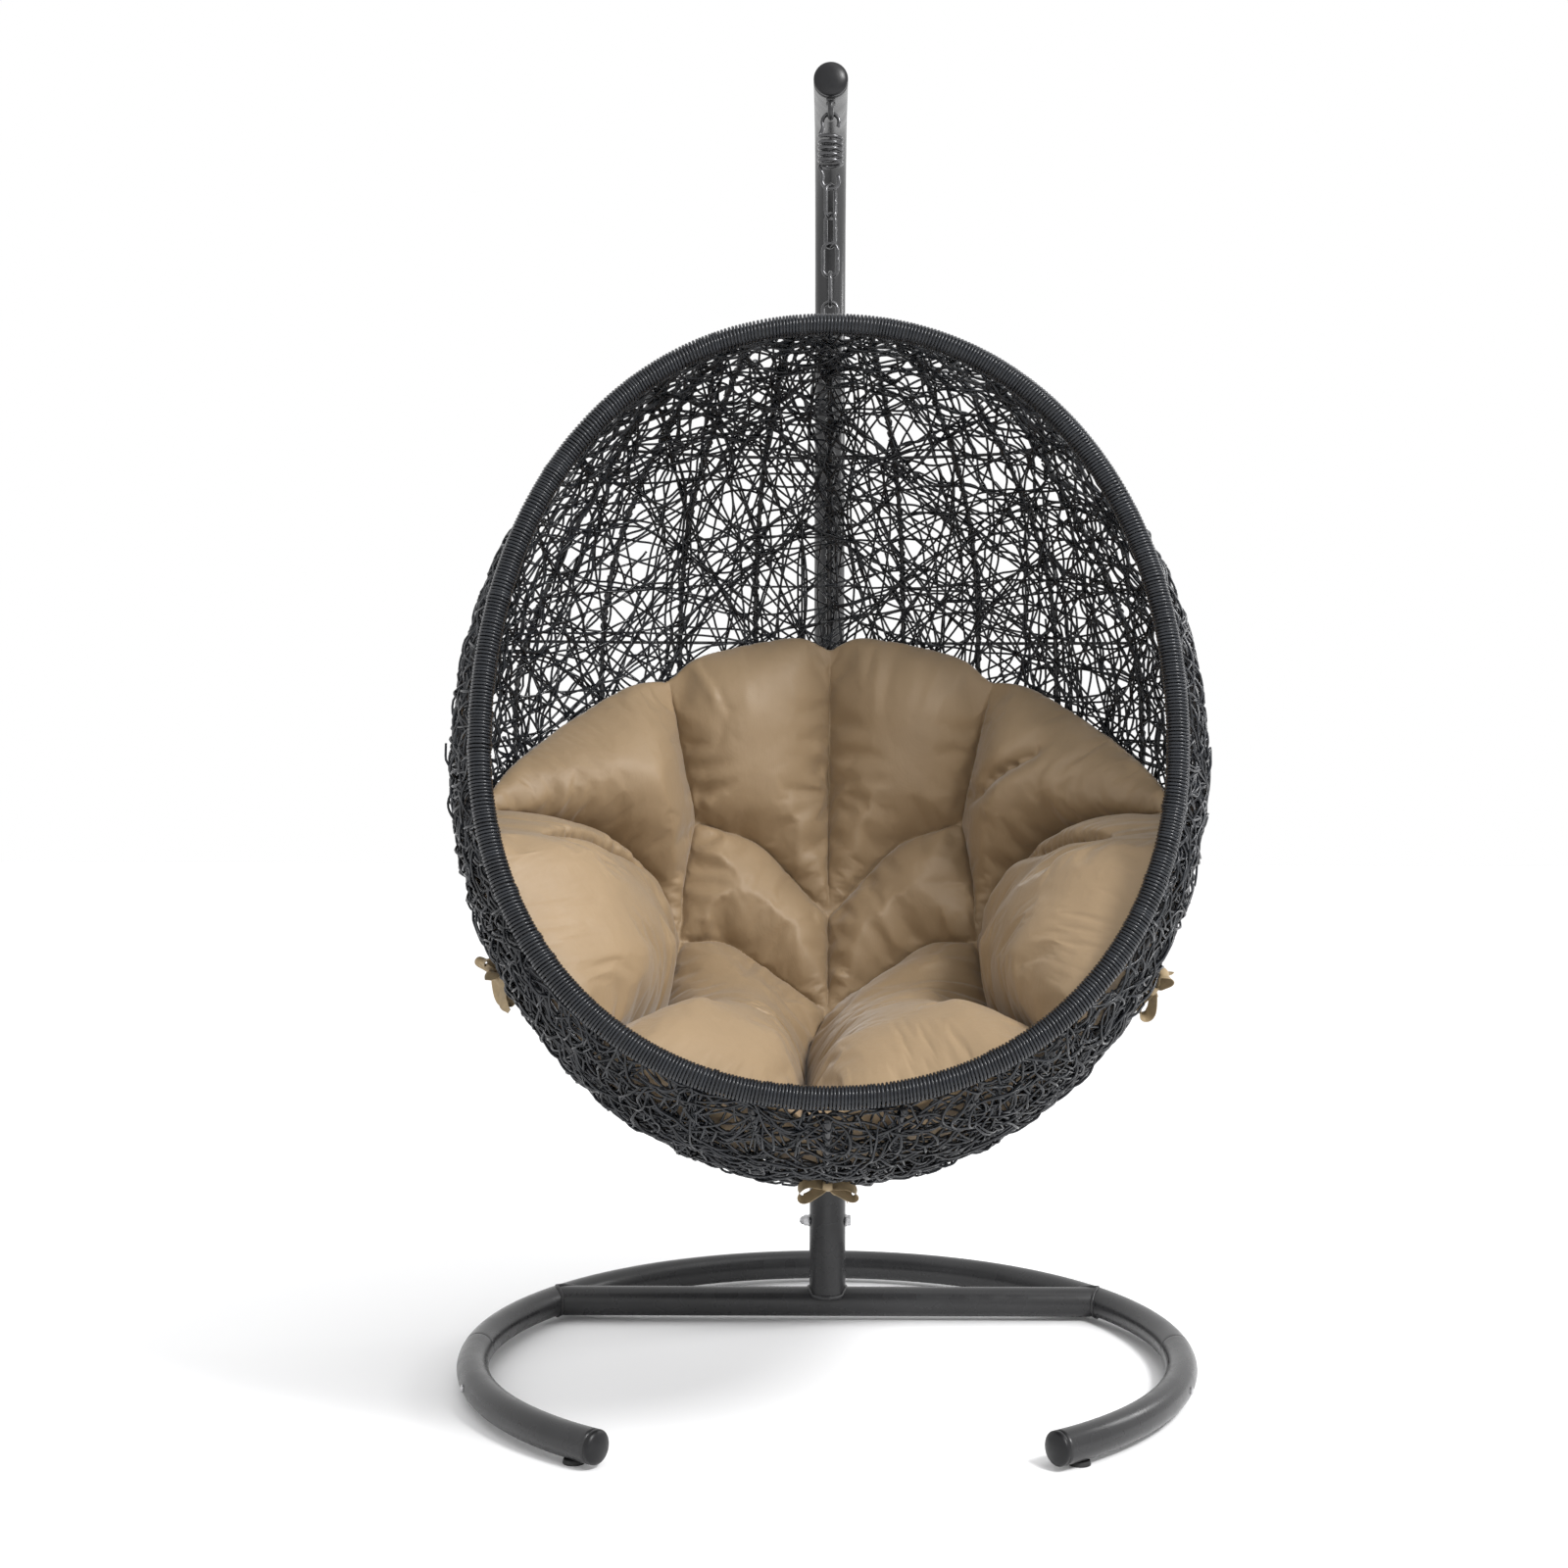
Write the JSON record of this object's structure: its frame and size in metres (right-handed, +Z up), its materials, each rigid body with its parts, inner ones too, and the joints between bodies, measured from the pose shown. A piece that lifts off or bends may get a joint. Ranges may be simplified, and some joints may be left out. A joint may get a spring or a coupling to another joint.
{
  "type": "hanging egg chair on a stand",
  "caption": "Egg-shaped woven basket seat with a tufted cushion, hung by a spring and chain from a curved arm over a round tube base.",
  "frame": {"origin": "on the floor, under the middle of the stand and basket together", "axes": "+Z up, +X to the right seen from the front, -Y towards the person looking at the chair; the rim opens towards -Y"},
  "size_m": [1.1276, 1.2058, 1.965],
  "materials": {
    "steel_coated": "satin black powder coat",
    "zinc": "dull zinc plate",
    "steel_hanger": "dark semi-gloss coating on steel wire",
    "black_plastic": "moulded black, faint grain",
    "rubber": "matt black",
    "wicker": "extruded strand, semi-gloss charcoal",
    "cushion": "plain woven polyester, tan"
  },
  "bodies": {
    "stand": {"arm_cap": "black_plastic", "base_arm_left": "steel_coated", "base_arm_right": "steel_coated", "base_cap_left": "black_plastic", "base_cap_right": "black_plastic", "base_rear_arc": "steel_coated", "base_screw_left": "zinc", "base_screw_right": "zinc", "base_spigot_left": "zinc", "base_spigot_right": "zinc", "cross_bar": "steel_coated", "foot_pad_1": "rubber", "foot_pad_2": "rubber", "foot_pad_3": "rubber", "foot_pad_4": "rubber", "hanger_staple": "steel_coated", "post_lower": "steel_coated", "post_socket": "steel_coated", "post_spigot": "zinc", "socket_bolt": "zinc", "socket_cap_nut": "zinc", "socket_washer_left": "zinc", "socket_washer_right": "zinc", "swing_arm": "steel_coated"},
    "spring": {"spring": "steel_hanger"},
    "link_1": {"chain_link_1": "steel_hanger"},
    "link_2": {"chain_link_2": "steel_hanger"},
    "link_3": {"chain_link_3": "steel_hanger"},
    "link_4": {"chain_link_4": "steel_hanger"},
    "link_5": {"chain_link_5": "steel_hanger"},
    "seat": {"cushion": "cushion", "hang_loop": "steel_coated", "hoop_1": "steel_coated", "hoop_2": "steel_coated", "hoop_3": "steel_coated", "hoop_4": "steel_coated", "rib_1": "steel_coated", "rib_2": "steel_coated", "rib_3": "steel_coated", "rib_4": "steel_coated", "rib_6": "steel_coated", "rib_7": "steel_coated", "rib_8": "steel_coated", "rib_9": "steel_coated", "rim_hoop": "steel_coated", "rim_wrap": "wicker", "spine_rib": "steel_coated", "tie_bottom": "cushion", "tie_left": "cushion", "tie_right": "cushion", "woven_shell": "wicker"}
  },
  "joints": [
    {"name": "fore_aft_swing", "type": "hinge", "parent": "stand", "child": "spring", "pos_m": [0, -0.16322, 1.8978], "axis": [1, 0, 0], "range_deg": [-18, 5]},
    {"name": "spring_bounce", "type": "slide", "parent": "spring", "child": "link_1", "axis": [0, 0, -1], "range_m": [-0.006, 0.045], "stiffness_N_per_m": 25000, "springref_m": -0.00675, "deforming": ["spring"]},
    {"name": "link_2_swing", "type": "hinge", "parent": "link_1", "child": "link_2", "pos_m": [0, -0.16322, 1.74485], "axis": [-0.6428, -0.766, 0], "range_deg": [-5, 5]},
    {"name": "link_3_swing", "type": "hinge", "parent": "link_2", "child": "link_3", "pos_m": [0, -0.16322, 1.70205], "axis": [0.6428, -0.766, 0], "range_deg": [-5, 5]},
    {"name": "seat_twist", "type": "hinge", "parent": "link_3", "child": "link_4", "pos_m": [0, -0.16322, 1.65925], "axis": [0, 0, 1], "range_deg": [-20, 20]},
    {"name": "sideways_swing", "type": "hinge", "parent": "link_4", "child": "link_5", "pos_m": [0, -0.16322, 1.61645], "axis": [0, 1, 0], "range_deg": [-5, 5]},
    {"name": "seat_rock", "type": "hinge", "parent": "link_5", "child": "seat", "pos_m": [0, -0.16322, 1.57365], "axis": [-1, 0, 0], "range_deg": [-4, 4]}
  ]
}
